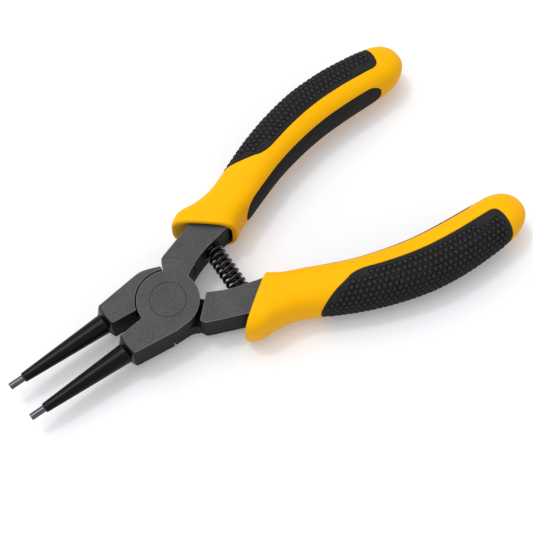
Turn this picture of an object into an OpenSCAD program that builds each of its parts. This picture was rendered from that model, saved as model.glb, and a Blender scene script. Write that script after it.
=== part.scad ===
// Internal circlip pliers with straight noses, for retaining rings with two pin holes.
// Two forged halves cross at a flush rivet, so squeezing the handles closes the noses.
// +X runs from the pivot to the handles, +Y to the handle of the top half, +Z up.
// The origin is on the pivot axis, on the underside of the joint.

/* [Joint] */
// Thickness of the two lapped discs together
joint_t = 13.4; // [11:0.1:15]
// Radius of each lap disc
disc_r = 10.7; // [10:0.1:12]
// Clearance between a disc and the half that turns about it
disc_gap = 0.4; // [0.3:0.05:0.8]
// Gap between the two lapped faces
lap_gap = 0.1; // [0.05:0.05:0.3]
// Radius of the step where the forged arms rise above the ground joint faces
ground_r = 15; // [13.5:0.1:17]
// Height of that step
face_step = 0.1; // [0.05:0.05:0.6]
// Run of the slope up that step
ground_run = 0.4; // [0.2:0.1:1.5]

/* [Rivet] */
// Radius of the flush heads
rivet_head_r = 6.2; // [5:0.1:8]
// Radius of the shank
rivet_r = 4.4; // [3:0.1:5]
// Depth of each conical head
rivet_head_t = 2.4; // [1.5:0.1:4]
// Radial clearance of the rivet in the halves
rivet_gap = 0.05; // [0.02:0.01:0.1]
// Broken edge round each head and its seat
rivet_edge = 0.1; // [0.05:0.05:0.3]

/* [Jaws] */
// Angle of the jaws to the centre line of the handles
jaw_turn = 2.7; // [0:0.1:5]
// Distance from the pivot to the centre line of the jaws
jaw_offset = 1.5; // [0:0.1:2.5]
// Distance from the pivot to the front of the jaw blocks
block_l = 21.2; // [18:0.1:26]
// Gap between the blocks at the front
block_gap = 5.5; // [4:0.1:8]
// Gap between the blocks at the lap discs
root_gap = 3.4; // [2.8:0.1:5]
// Width of each block at the front
block_w = 7.5; // [7:0.1:9]
// Radius of the round root of each block
root_r = 10.7; // [10:0.1:12]
// Distance of the root's centre ahead of the pivot
root_x = 3.05; // [2:0.05:5]
// Distance of the root's centre from the centre line of the jaws
root_y = 1.65; // [1:0.05:3]
// Length of the straight heel from the root to the opening stop
heel_l = 4.6; // [3.5:0.1:5]
// Radius that the turned front of a block gains for each millimetre back
block_slope = 3; // [2:0.1:6]
// Where the shoulder of the top half ends beside the lower disc
shoulder_end = 4.9; // [3:0.1:7]
// Clearance at the opening stop, between shoulder and neck
stop_gap = 0.35; // [0.2:0.05:1]

/* [Noses and tips] */
// Radius of a nose at the block
nose_base_r = 3.6; // [3:0.05:4.5]
// Radius of a nose at its end
nose_end_r = 1.7; // [1.5:0.05:2.6]
// Length of a nose
nose_l = 32.3; // [20:0.1:45]
// Distance between the axes of the noses
nose_pitch = 12.9; // [11:0.1:16]
// Radius of the tip pins
tip_r = 1.2; // [0.8:0.05:1.5]
// Length of a tip pin outside the nose
tip_l = 5.2; // [3:0.1:9]
// Radius of the tip pin inside the nose
tip_shank_r = 0.9; // [0.6:0.05:1.1]
// Length of the tip pin inside the nose
tip_shank_l = 8; // [5:0.5:14]
// Chamfer at the end of a tip pin
tip_chamfer = 0.2; // [0.1:0.05:0.4]
// Length of the flare at the foot of a tip pin
tip_foot = 0.3; // [0.2:0.05:0.6]

/* [Arms] */
// Distance from the pivot to the end wall of an arm
wall_d = 12; // [11.6:0.1:13]
// Direction of that wall from the centre line
wall_turn = 44.6; // [40:0.1:50]
// Width of that wall
wall_w = 10.2; // [8:0.1:12]
// Outer corner of the neck, along the pliers
neck_x = 6.5; // [5:0.1:8]
// Outer corner of the neck, from the centre line
neck_y = 14.2; // [13:0.1:16]
// Angle of an arm's outer edge
outer_turn = 20.3; // [15:0.1:26]
// Bend of an arm's inner edge, along the pliers
bend_x = 18.6; // [16:0.1:21]
// Bend of an arm's inner edge, from the centre line
bend_y = 8.2; // [7.5:0.1:9.5]
// Angle of an arm's inner edge past the bend
inner_turn = 13.4; // [10:0.1:18]
// Width of the tang at its end in the sleeve
tang_w = 7.4; // [5:0.1:9]
// Thickness of the tang, which is less than that of the arm
tang_t = 9; // [6:0.5:11]
// Shoulder of the arm on each side of the tang
tang_step = 0.4; // [0.2:0.1:1]
// Clearance of the tang in its sleeve
tang_gap = 0.15; // [0.05:0.05:0.3]

/* [Spring] */
// Distance from the pivot to the spring
spring_x = 23.5; // [21:0.1:26]
// Length of the spring between its seats
spring_l = 20.4; // [19.6:0.1:21.4]
// Outside diameter of the spring
spring_d = 7.2; // [6:0.1:7.8]
// Diameter of the wire
wire_d = 1.2; // [0.8:0.05:1.5]
// Turns between the closed ends
spring_turns = 8; // [5:1:9]
// Radius of a spring seat over the spring
seat_gap = 0.35; // [0.2:0.05:0.6]
// Clearance of a spring end on its seat
spring_gap = 0.05; // [0.03:0.01:0.2]
// Radius of the pegs that hold the spring
peg_r = 1.8; // [1:0.05:1.9]
// Length of a peg inside the spring
peg_out = 3.2; // [2:0.1:5]
// Length of a peg inside the arm
peg_in = 4; // [3:0.1:6]
// Clearance of a pressed pin in its hole
press_gap = 0.01; // [0:0.005:0.03]

/* [Sleeves] */
// Front of a sleeve, along the pliers
sleeve_x = 24.2; // [23.5:0.1:26]
// Length of a sleeve from the middle of its mouth
sleeve_l = 98.4; // [90:0.1:110]
// Greatest width of a sleeve
sleeve_w = 18.8; // [17.5:0.1:21]
// Greatest thickness of a sleeve
sleeve_t = 20; // [18:0.1:23]
// Distance of the handle's end from the centre line
sleeve_y = 36.2; // [34:0.1:39]
// Round of the rim of the flared mouth
rim_r = 1; // [0.6:0.1:1.4]
// Gap between an arm and the mouth of its sleeve
mouth_gap = 0.25; // [0.15:0.05:0.4]

/* [Grips] */
// Depth of the outer grip in the sleeve
outer_t = 2; // [1.2:0.1:2.4]
// How far the textured outer grip stands out of the sleeve
outer_proud = 0.3; // [0.1:0.05:0.5]
// Depth of the inner grip in the sleeve
inner_t = 1.5; // [1:0.1:2]
// Clearance of the grips in their pockets
grip_gap = 0.1; // [0.05:0.01:0.2]
// Half of the angle that the outer grip covers
outer_cover = 100; // [80:1:105]
// Half of the angle that the inner grip covers
inner_cover = 35; // [28:1:45]

/* [Hidden] */
$fn = 96;
mid_z = joint_t / 2;
block_top = root_gap / 2;
nose_y = nose_pitch / 2;
nose_front = -block_l - nose_l + 0.4;
wall_n = [cos(wall_turn), sin(wall_turn)];
wall_t = [sin(wall_turn), -cos(wall_turn)];
wall_out = wall_d * wall_n - wall_w / 2 * wall_t;
wall_in = wall_d * wall_n + wall_w / 2 * wall_t;
neck = [neck_x, neck_y];
bend = [bend_x, bend_y];
seat_y = spring_l / 2;

// Cross sections of a sleeve from its mouth to the start of its round end: distance along,
// distance off the centre line, half width, direction of the section line, half thickness
// and squareness. Lengths are parts of the sleeve's length, spread, width and thickness.
SECTIONS = [
    [0.000, 0.448, 0.612, 142.5, 1.00, 3.2],
    [0.034, 0.507, 0.592, 136, 0.99, 3.1],
    [0.086, 0.533, 0.496, 133, 0.96, 2.9],
    [0.151, 0.580, 0.440, 126, 0.94, 2.7],
    [0.232, 0.677, 0.440, 117, 0.96, 2.5],
    [0.338, 0.801, 0.458, 112, 0.99, 2.5],
    [0.455, 0.903, 0.482, 108, 1.00, 2.5],
    [0.577, 0.974, 0.500, 101.5, 1.00, 2.5],
    [0.700, 1.003, 0.500, 95.5, 0.98, 2.5],
    [0.812, 1.004, 0.480, 91, 0.93, 2.5],
    [0.880, 1.000, 0.458, 90, 0.87, 2.5],
];
last = len(SECTIONS) - 1;
end_l = (1 - SECTIONS[last][0]) * sleeve_l;

// Where the grips lie along the sections, and the rings that draw sleeve and grips.
outer_from = 3.81;
outer_full = 5.3;
outer_round = 9.5;
outer_to = 10.06;
inner_from = 2.3;
inner_full = 3.1;
inner_round = 8.8;
inner_to = 9.53;
seam = 0.006;
RIM = [[0, 1], [0.08, 0.29], [0.27, 0]];
FRONT_RINGS = [0.5, 1, 1.5, 2];
TO_OUTER = [2.36, 2.5, 2.75, 3.1, 3.5];
OUTER_START = [3.84, 3.91, 4.04, 4.25, 4.55, 4.9];
ALONG = [5.3, 5.9, 6.6, 7.3, 8, 8.5, 8.95];
INNER_END = [9.15, 9.32, 9.45];
OUTER_END = [9.65, 9.84, 9.96, 10.025];
CAP_RINGS = [10.28, 10.46, 10.64, 10.8, 10.92];
outer_n = 7;
yellow_n = 5;
inner_n = 4;

// Smooth curve through the rows of a table, at row number t.
function through(p, t) =
    let (n = len(p) - 1, i = min(floor(t), n - 1), u = t - i)
    let (a = p[max(i - 1, 0)], b = p[i], c = p[i + 1], d = p[min(i + 2, n)])
    0.5 * (2 * b + (c - a) * u + (2 * a - 5 * b + 4 * c - d) * u * u
        + (3 * b - a - 3 * c + d) * u * u * u);

// Section s in millimetres. Past the last row it closes as a quarter ellipse.
function section(s) =
    let (r = through(SECTIONS, min(s, last)), phi = 90 * max(s - last, 0))
    [sleeve_x + r[0] * sleeve_l + end_l * sin(phi), r[1] * sleeve_y,
        r[2] * sleeve_w * cos(phi), r[3], r[4] * sleeve_t / 2 * cos(phi), r[5]];

function powered(v, e) = sign(v) * pow(abs(v), e);

// Point of the sleeve's surface at section s and angle a from the outer side, moved out by d.
function skin(s, a, d) =
    let (q = section(s), across = max(q[2] + d, 0) * powered(cos(a), 2 / q[5]))
    [q[0] + across * cos(q[3]), q[1] + across * sin(q[3]),
        mid_z + max(q[4] + d, 0) * powered(sin(a), 2 / q[5])];

// Half angles covered by the grips at section s. The outer one opens in a curve and ends almost
// square, with round corners.
function outer_angle(s) =
    let (f = outer_from - 0.02, u = 1 - min(max((s - f) / (outer_full - f), 0.002), 1))
    let (x = section(outer_round)[0], run = section(outer_to)[0] - x)
    let (w = 0.99 * min(max((section(s)[0] - x) / run, 0), 1))
    outer_cover * pow(1 - u * u, 0.62) * pow(1 - w * w, 0.08);
function inner_angle(s) =
    let (f = inner_from - 0.02, u = 1 - min(max((s - f) / (inner_full - f), 0.01), 1))
    let (w = min(max((s - inner_round) / (inner_to + 0.02 - inner_round), 0), 0.98))
    let (grow = min(max((s - 3) / 5, 0), 1))
    inner_cover * (0.91 + 0.09 * grow) * pow(1 - u * u, 0.62) * sqrt(1 - w * w);

// Places the jaws on their own centre line.
module jaw_frame() {
    rotate(jaw_turn) translate([0, jaw_offset, 0]) children();
}

// Ground outline of a jaw block with its round root, for side 1 or -1 of the centre line.
module jaw_shape(side) {
    front = [-block_l, block_gap / 2 + block_w];
    root = [-root_x, root_y];
    away = front - root;
    turn = atan2(away[1], away[0]) - acos(root_r / norm(away));
    touch = root + root_r * [cos(turn), sin(turn)];
    slope = (block_gap / 2 - block_top) / (block_l - disc_r);
    far = block_top - slope * (disc_r + 12);
    heel_turn = 68;
    heel_from = root + root_r * [cos(heel_turn), sin(heel_turn)];
    heel = heel_from + heel_l * [sin(heel_turn), -cos(heel_turn)];
    mirror([0, side > 0 ? 0 : 1]) intersection() {
        union() {
            polygon([[-block_l, 0], front, touch, root, [-root_x, 0]]);
            translate(root) circle(root_r);
            polygon([root, heel_from, heel]);
        }
        polygon([[-block_l, block_gap / 2], [-block_l, 30], [12, 30], [12, far]]);
    }
}

// Room for the other half beside a jaw block: its disc, its neck and the stop.
module turning_room(side) {
    shift = stop_gap * [-wall_out[1], wall_out[0]] / norm(wall_out);
    circle(disc_r + disc_gap);
    if (side > 0) {
        polygon([[0, 0], 0.8 * wall_out + shift, wall_out + shift, neck - [0.7, 0.5] + shift,
            neck + [0, 20], [40, 20], [40, 0]]);
    } else {
        translate([-shoulder_end, -40]) square([60, 80]);
    }
}

// Turned front of a block, a nose and its pin hole. They take their axis from the nose.
module nose_axis(side, x) {
    jaw_frame() translate([x, side * nose_y, mid_z]) rotate([0, 90, 0]) children();
}

// Tang centre at section s, and its direction.
function spine(s) = let (q = section(s)) [q[0], q[1]];
function side_of(s) =
    let (d = spine(s + 0.05) - spine(s - 0.05), n = norm(d)) [-d[1], d[0]] / n;
function tang_half(s) = tang_w / 2 * (1 + 0.2 * (7.7 - s) / 4.2);
function tang_edge(side) = [for (s = [3.2, 4.2, 5, 5.8, 6.6, 7.3, 7.7])
    spine(s) + side * tang_half(s) * side_of(s)];
function arm_end(side) =
    spine(3.5) + side * (tang_half(3.5) + tang_step) * side_of(3.5);
function backwards(p) = [for (i = [len(p) - 1 : -1 : 0]) p[i]];

// Outline of the tang, from inside the end of the arm to the middle of the sleeve.
module tang_shape() {
    polygon(concat(tang_edge(1), backwards(tang_edge(-1))));
}

// Outline of an arm on the upper side, as far as it runs into the sleeve.
module arm_shape() {
    out_run = 20.5;
    in_run = 12.6;
    outer_at = neck + out_run * [1, tan(outer_turn)];
    inner_at = bend + in_run * [1, tan(inner_turn)];
    soft = 4.6;
    from_arm = soft * [cos(inner_turn), sin(inner_turn)];
    to_wall = soft * (wall_in - bend) / norm(wall_in - bend);
    curve = [for (t = [0 : 0.125 : 1]) bend + (1 - t) * (1 - t) * from_arm + t * t * to_wall];
    polygon(concat([wall_out, neck - [0.7, 0.5], neck + [0.5, 0.18], outer_at, arm_end(1),
        arm_end(-1), inner_at], curve, [wall_in]));
}

// Neck that joins an arm to its own disc.
module neck_shape() {
    polygon([[0, 0], 0.86 * wall_out, wall_out, neck - [0.7, 0.5], neck + [2, 0.7],
        wall_in + [2, 1], wall_in, 0.86 * wall_in - [0, 0.6]]);
}

// Cheek of the bottom half, which goes on flush from the other half's shoulder to the neck.
module cheek_shape() {
    from = stop_gap - shoulder_end;
    side = [0.14 * disc_r, disc_r];
    polygon([[0, 0], [from, 0], [from, disc_r + 0.1], side,
        (side + wall_out) / 2 - [0.1, 0.3], wall_out - [0.2, 0]]);
}

module rivet_profile(gap) {
    edge = rivet_edge;
    r = rivet_head_r + (gap > 0 ? gap : 0);
    tip = gap > 0 ? r + edge : r - edge;
    polygon([[0, 0], [tip, 0], [r, edge], [rivet_r + gap, rivet_head_t],
        [rivet_r + gap, joint_t - rivet_head_t], [r, joint_t - edge], [tip, joint_t],
        [0, joint_t]]);
}

// Hole for a pressed pin, and the flat seat for the spring, on the arm at side 1.
module spring_holes() {
    translate([spring_x, 0, mid_z]) rotate([-90, 0, 0]) {
        cylinder(r = spring_d / 2 + seat_gap, h = seat_y);
        cylinder(r = peg_r + press_gap, h = seat_y + peg_in);
    }
}

// One forged half with its arm at side 1. own = 1 puts its disc on top, -1 below.
module half(own, jaw_side) {
    half_t = mid_z - lap_gap / 2;
    own_z = own > 0 ? half_t + lap_gap : 0;
    other_z = own > 0 ? 0 : half_t;
    to_side = [0, own > 0 ? 0 : 1];
    difference() {
        union() {
            // arm, thicker than the joint, with the ground faces let into it
            difference() {
                translate([0, 0, -face_step]) linear_extrude(joint_t + 2 * face_step)
                    mirror(to_side) arm_shape();
                for (face = [0, 1])
                    translate([0, 0, face * joint_t]) mirror([0, 0, 1 - face])
                        cylinder(r1 = ground_r, r2 = ground_r + 2 * ground_run, h = 2 * face_step);
            }
            // tang
            translate([0, 0, mid_z - tang_t / 2]) linear_extrude(tang_t)
                mirror(to_side) tang_shape();
            intersection() {
                union() {
                    // disc, neck and jaw block on the half's own level
                    translate([0, 0, own_z]) linear_extrude(half_t) {
                        circle(disc_r);
                        mirror(to_side) neck_shape();
                        jaw_frame() jaw_shape(jaw_side);
                        if (own < 0) mirror(to_side) cheek_shape();
                    }
                    // jaw block beside the other half
                    translate([0, 0, other_z]) linear_extrude(half_t + lap_gap) difference() {
                        jaw_frame() jaw_shape(jaw_side);
                        turning_room(jaw_side);
                    }
                }
                nose_axis(jaw_side, -block_l)
                    cylinder(r1 = nose_base_r, r2 = nose_base_r + 40 * block_slope, h = 40);
            }
            // nose
            nose_axis(jaw_side, nose_front)
                cylinder(r1 = nose_end_r, r2 = nose_base_r, h = nose_l);
        }
        rotate_extrude() rivet_profile(rivet_gap);
        nose_axis(jaw_side, nose_front - 0.5)
            cylinder(r = tip_shank_r + press_gap, h = tip_shank_l + 0.5);
        mirror(to_side) spring_holes();
    }
}

module top_half() {
    color("#4a4a4c") half(1, -1);
}

module bottom_half() {
    color("#4a4a4c") half(-1, 1);
}

// Stepped pin: the thinner shank is pressed in, the flared foot seats on the nose.
module tip_pin(side) {
    nose_axis(side, nose_front - tip_l) rotate_extrude() polygon([[0, 0],
        [tip_r - tip_chamfer, 0], [tip_r, tip_chamfer], [tip_r, tip_l - tip_foot],
        [tip_r + 0.6 * tip_foot, tip_l], [tip_shank_r, tip_l],
        [tip_shank_r, tip_l + tip_shank_l - 0.2], [0, tip_l + tip_shank_l - 0.2]]);
}

module top_half_tip() {
    color("#c9cacc") tip_pin(-1);
}

module bottom_half_tip() {
    color("#c9cacc") tip_pin(1);
}

module pivot_rivet() {
    color("#555557") rotate_extrude() rivet_profile(0);
}

// Peg with a rounded front edge that keeps the spring from slipping off its seat.
module spring_peg() {
    translate([spring_x, seat_y - peg_out, mid_z]) rotate([-90, 0, 0])
        rotate_extrude() polygon([[0, 0], [peg_r - 0.5, 0], [peg_r, 0.5],
            [peg_r, peg_out + peg_in - 0.1], [0, peg_out + peg_in - 0.1]]);
}

module top_half_spring_peg() {
    color("#77787a") spring_peg();
}

module bottom_half_spring_peg() {
    color("#77787a") mirror([0, 1, 0]) spring_peg();
}

// Coil along Y: one closed turn at each end and open turns between.
coil_r = (spring_d - wire_d) / 2;
coil_l = spring_l - 2 * spring_gap - wire_d;
closed_p = wire_d * 1.04;
open_p = (coil_l - 2 * closed_p) / spring_turns;
function coil_y(n) = n < 1 ? n * closed_p
    : n < spring_turns + 1 ? closed_p + (n - 1) * open_p
    : coil_l - (spring_turns + 2 - n) * closed_p;
module return_spring() {
    sides = 7;
    per_turn = 14;
    total = spring_turns + 2;
    steps = round(total * per_turn);
    points = [for (i = [0 : steps], k = [0 : sides - 1])
        let (n = total * i / steps, a = 360 * n, b = 360 * k / sides)
        let (r = coil_r + wire_d / 2 * cos(b))
        [spring_x + r * sin(a), coil_y(n) - coil_l / 2 + wire_d / 2 * sin(b),
            mid_z + r * cos(a)]];
    walls = [for (i = [0 : steps - 1], k = [0 : sides - 1])
        let (a = i * sides + k, b = i * sides + (k + 1) % sides)
        for (f = four(b, b + sides, a + sides, a)) f];
    ends = [[for (k = [0 : sides - 1]) k],
        [for (k = [sides - 1 : -1 : 0]) steps * sides + k]];
    color("#1d1d1f") polyhedron(points, concat(walls, ends));
}

// Rings of the sleeve: section, inward step, and whether the grips' pockets are cut there.
plain = concat([for (m = RIM) [m[0], m[1] * rim_r]], [for (s = FRONT_RINGS) [s, 0]],
    [[inner_from - 2 * seam, 0]]);
RINGS = concat(
    [for (m = plain) [m[0], m[1], 0, 0]],
    [for (s = concat([inner_from - seam], TO_OUTER, [outer_from - 2 * seam])) [s, 0, 0, 1]],
    [for (s = concat([outer_from - seam], OUTER_START, ALONG, INNER_END, [inner_to + seam]))
        [s, 0, 1, 1]],
    [for (s = concat([inner_to + 2 * seam], OUTER_END, [outer_to + seam])) [s, 0, 1, 0]],
    [for (s = concat([outer_to + 2 * seam], CAP_RINGS)) [s, 0, 0, 0]]);
half_n = outer_n + yellow_n + inner_n;
ring_n = 2 * half_n - 2;

// Angle and depth of slot j in ring r, counted from the outer side over the top.
function slot(r, j) =
    let (h = j < half_n ? j : ring_n - j, sgn = j < half_n ? 1 : -1)
    let (g = outer_angle(r[0]) + 0.6, f = 180 - inner_angle(r[0]) - 0.6)
    h < outer_n ? [sgn * g * h / (outer_n - 1), r[2] * (outer_t + grip_gap)]
    : h < outer_n + yellow_n
        ? [sgn * (g + (f - g) * (h - outer_n) / (yellow_n - 1)), 0]
    : [sgn * (f + (180 - f) * (h - outer_n - yellow_n) / (inner_n - 1)),
        r[3] * (inner_t + grip_gap)];

// Where a ring has no pocket, the two edges of the pocket's wall are one point.
function joined(r, j) =
    let (h = j < half_n ? j : ring_n - j)
    let (k = h == outer_n && r[2] == 0 ? h - 1
        : h == outer_n + yellow_n && r[3] == 0 ? h - 1 : h)
    j < half_n ? k : (ring_n - k) % ring_n;

function three(a, b, c) = a == b || b == c || a == c ? [] : [[a, b, c]];
function four(a, b, c, d) = concat(three(a, b, c), three(a, c, d));

// Outer skin with the grips' pockets and the flat mouth, as one closed surface.
module sleeve_skin() {
    rings = len(RINGS);
    skin_points = [for (r = RINGS, j = [0 : ring_n - 1])
        let (p = slot(r, j)) skin(r[0], p[0], -r[1] - p[1])];
    mouth_at = section(0);
    ends = [skin(last + 1, 0, 0), [mouth_at[0], mouth_at[1], mid_z]];
    back = rings * ring_n;
    plain_ring = [0, 0, 0, 0];
    walls = [for (i = [0 : rings - 2], j = [0 : ring_n - 1])
        let (k = (j + 1) % ring_n, a = i * ring_n, b = a + ring_n)
        for (f = four(a + joined(RINGS[i], j), b + joined(RINGS[i + 1], j),
            b + joined(RINGS[i + 1], k), a + joined(RINGS[i], k))) f];
    end_fan = [for (j = [0 : ring_n - 1])
        let (k = (j + 1) % ring_n, a = (rings - 1) * ring_n)
        for (f = three(a + joined(plain_ring, j), back, a + joined(plain_ring, k))) f];
    mouth_fan = [for (j = [0 : ring_n - 1])
        let (k = (j + 1) % ring_n)
        for (f = three(back + 1, joined(plain_ring, j), joined(plain_ring, k))) f];
    polyhedron(concat(skin_points, ends), concat(walls, end_fan, mouth_fan));
}

// Hard sleeve with the room for the arm and for the tang.
module sleeve() {
    arm_room = joint_t + 2 * (face_step + mouth_gap);
    tang_room = tang_t + 2 * tang_gap;
    difference() {
        sleeve_skin();
        translate([0, 0, mid_z - arm_room / 2]) linear_extrude(arm_room)
            offset(delta = mouth_gap) arm_shape();
        translate([0, 0, mid_z - tang_room / 2]) linear_extrude(tang_room)
            offset(delta = tang_gap) tang_shape();
    }
}

// Patch of the skin between two depths, over angles -1 to 1 times its half angle.
module patch(rows, columns, top, depth, centre, wide) {
    nr = len(rows);
    nc = 2 * columns - 1;
    points = [for (d = [top, -depth], s = rows, j = [0 : nc - 1])
        skin(s, centre + wide(s) * (j / (columns - 1) - 1), d)];
    low = nr * nc;
    faces = [for (i = [0 : nr - 2], j = [0 : nc - 2])
        let (a = i * nc + j, b = a + nc)
        for (f = concat(four(a, b, b + 1, a + 1),
            four(low + a, low + a + 1, low + b + 1, low + b))) f];
    sides = [for (i = [0 : nr - 2])
        let (a = i * nc, b = a + nc, c = a + nc - 1, d = b + nc - 1)
        for (f = concat(four(a, low + a, low + b, b), four(d, low + d, low + c, c))) f];
    ends = [for (j = [0 : nc - 2]) let (a = j, b = (nr - 1) * nc + j)
        for (f = concat(four(a + 1, low + a + 1, low + a, a),
            four(b, low + b, low + b + 1, b + 1))) f];
    polyhedron(points, concat(faces, sides, ends));
}

module outer_grip() {
    rows = concat([outer_from], OUTER_START, ALONG, INNER_END, [inner_to], OUTER_END, [outer_to]);
    patch(rows, outer_n, outer_proud, outer_t, 0, function (s) outer_angle(s));
}

module inner_grip() {
    rows = concat([inner_from], TO_OUTER, [outer_from], OUTER_START, ALONG, INNER_END,
        [inner_to]);
    patch(rows, inner_n, 0, inner_t, 180, function (s) inner_angle(s));
}

module top_half_sleeve() {
    color("#fdc814") sleeve();
}

module bottom_half_sleeve() {
    color("#fdc814") mirror([0, 1, 0]) sleeve();
}

module top_half_outer_grip() {
    color("#2b2b2d") outer_grip();
}

module bottom_half_outer_grip() {
    color("#2b2b2d") mirror([0, 1, 0]) outer_grip();
}

module top_half_inner_grip() {
    color("#222224") inner_grip();
}

module bottom_half_inner_grip() {
    color("#222224") mirror([0, 1, 0]) inner_grip();
}

top_half();
bottom_half();
top_half_tip();
bottom_half_tip();
pivot_rivet();
top_half_spring_peg();
bottom_half_spring_peg();
return_spring();
top_half_sleeve();
bottom_half_sleeve();
top_half_outer_grip();
bottom_half_outer_grip();
top_half_inner_grip();
bottom_half_inner_grip();
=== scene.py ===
"""Looks of a pair of circlip pliers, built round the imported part.

The steel halves, rivet, pins and pegs keep their CAD shape and get broken edges and finishes.
Handles and spring are new surfaces, worked out from the same sizes as the part. Sizes here are
millimetres, angles are degrees, and a mesh is turned to metres when it is made.
"""

import logging
import math
from dataclasses import dataclass, field
from enum import Enum
from functools import cached_property
from typing import Any

import bpy
import numpy as np
from mathutils import Matrix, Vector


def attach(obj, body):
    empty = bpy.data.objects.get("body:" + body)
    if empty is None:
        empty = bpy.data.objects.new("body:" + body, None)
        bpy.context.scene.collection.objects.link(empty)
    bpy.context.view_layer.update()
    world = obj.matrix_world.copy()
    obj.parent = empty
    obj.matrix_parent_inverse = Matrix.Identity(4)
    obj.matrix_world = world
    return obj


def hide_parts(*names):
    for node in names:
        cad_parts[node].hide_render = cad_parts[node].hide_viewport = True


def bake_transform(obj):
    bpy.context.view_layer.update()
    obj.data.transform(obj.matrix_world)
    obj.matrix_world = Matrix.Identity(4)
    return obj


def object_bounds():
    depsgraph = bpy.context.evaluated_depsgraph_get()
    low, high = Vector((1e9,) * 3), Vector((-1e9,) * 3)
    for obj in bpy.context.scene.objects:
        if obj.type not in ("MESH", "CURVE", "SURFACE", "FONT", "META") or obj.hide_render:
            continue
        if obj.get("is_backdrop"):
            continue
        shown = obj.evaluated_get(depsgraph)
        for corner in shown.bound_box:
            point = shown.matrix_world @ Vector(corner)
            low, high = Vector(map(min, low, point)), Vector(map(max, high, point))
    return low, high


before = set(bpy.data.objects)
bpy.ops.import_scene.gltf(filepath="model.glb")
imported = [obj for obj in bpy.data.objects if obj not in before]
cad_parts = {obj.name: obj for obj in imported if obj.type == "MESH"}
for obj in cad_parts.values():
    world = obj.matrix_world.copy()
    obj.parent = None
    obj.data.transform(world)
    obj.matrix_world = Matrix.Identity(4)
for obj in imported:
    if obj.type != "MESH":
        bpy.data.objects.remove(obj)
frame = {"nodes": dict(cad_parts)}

LOG = logging.getLogger("pliers")
MM = 0.001
RELIEF = "relief"  # point attribute of the soft grips
PLAIN_RELIEF = 0.5  # its value where there are no studs
MERGE_STEPS = 1e5  # steps per millimetre, within which points are one
EDGE_STEPS = (0, 0.03, 0.08, 0.15, 0.22, 0.3)  # columns beside a seam, by their distance from it
FAR = 1e3  # a distance past every edge


class Half(Enum):
    """The two forged halves, named for the place of their lap disc."""

    TOP = "top_half"
    BOTTOM = "bottom_half"

    @property
    def body(self) -> str:
        """CAD body that the half's pieces ride on."""
        return f"{self.value}_body"

    @property
    def side(self) -> int:
        """Side of the centre line that the half's handle lies on."""
        return 1 if self is Half.TOP else -1


class GripSide(Enum):
    """Where a soft grip lies on its sleeve: for the palm and thumb, or for the fingers."""

    OUTER = "outer_grip"
    INNER = "inner_grip"


def linear(code: str) -> tuple[float, float, float, float]:
    """Turns an sRGB hex code into linear colour.

    Args:
        code: Colour as six hex digits after a hash.
    Returns:
        Red, green, blue and an alpha of one.
    """
    parts = [int(code[i:i + 2], 16) / 255 for i in (1, 3, 5)]
    flat = [c / 12.92 if c <= 0.04045 else ((c + 0.055) / 1.055) ** 2.4 for c in parts]
    return (*flat, 1.0)


def grain(size: float) -> float:
    """Texture scale at which one feature of a pattern measures size millimetres."""
    return 1 / (size * MM)


def add(tree: bpy.types.NodeTree, kind: str, inputs: dict[str | int, Any] | None = None,
        **settings: Any) -> bpy.types.Node:
    """Adds a node with its settings, and sets or links its inputs.

    Args:
        tree: Node tree that gets the node.
        kind: Blender's name of the node type.
        inputs: Values or sockets by input name or number.
        settings: Properties of the node.
    Returns:
        The new node.
    """
    node = tree.nodes.new(kind)
    for name, value in settings.items():
        setattr(node, name, value)
    for name, value in (inputs or {}).items():
        if isinstance(value, bpy.types.NodeSocket):
            tree.links.new(value, node.inputs[name])
        else:
            node.inputs[name].default_value = value
    return node


def new_material(name: str) -> tuple[bpy.types.Material, bpy.types.NodeTree]:
    """Makes an empty node material.

    Args:
        name: Name of the real material and how its surface was made.
    Returns:
        The material and its node tree.
    """
    material = bpy.data.materials.new(name)
    material.use_nodes = True
    material.node_tree.nodes.clear()
    return material, material.node_tree


def grid_quads(rows: int, columns: int, turned: bool) -> np.ndarray:
    """Corner numbers of a grid whose columns close to a ring.

    Args:
        rows: Number of rings.
        columns: Points in each ring.
        turned: Whether the faces run the other way round.
    Returns:
        One row of four corners for each face.
    """
    first = (np.arange(rows - 1) * columns)[:, None]
    here = np.arange(columns)[None, :]
    there = (here + 1) % columns
    around = [first + here, first + there, first + columns + there, first + columns + here]
    return np.stack(around[::-1] if turned else around, axis=-1).reshape(-1, 4)


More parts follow.
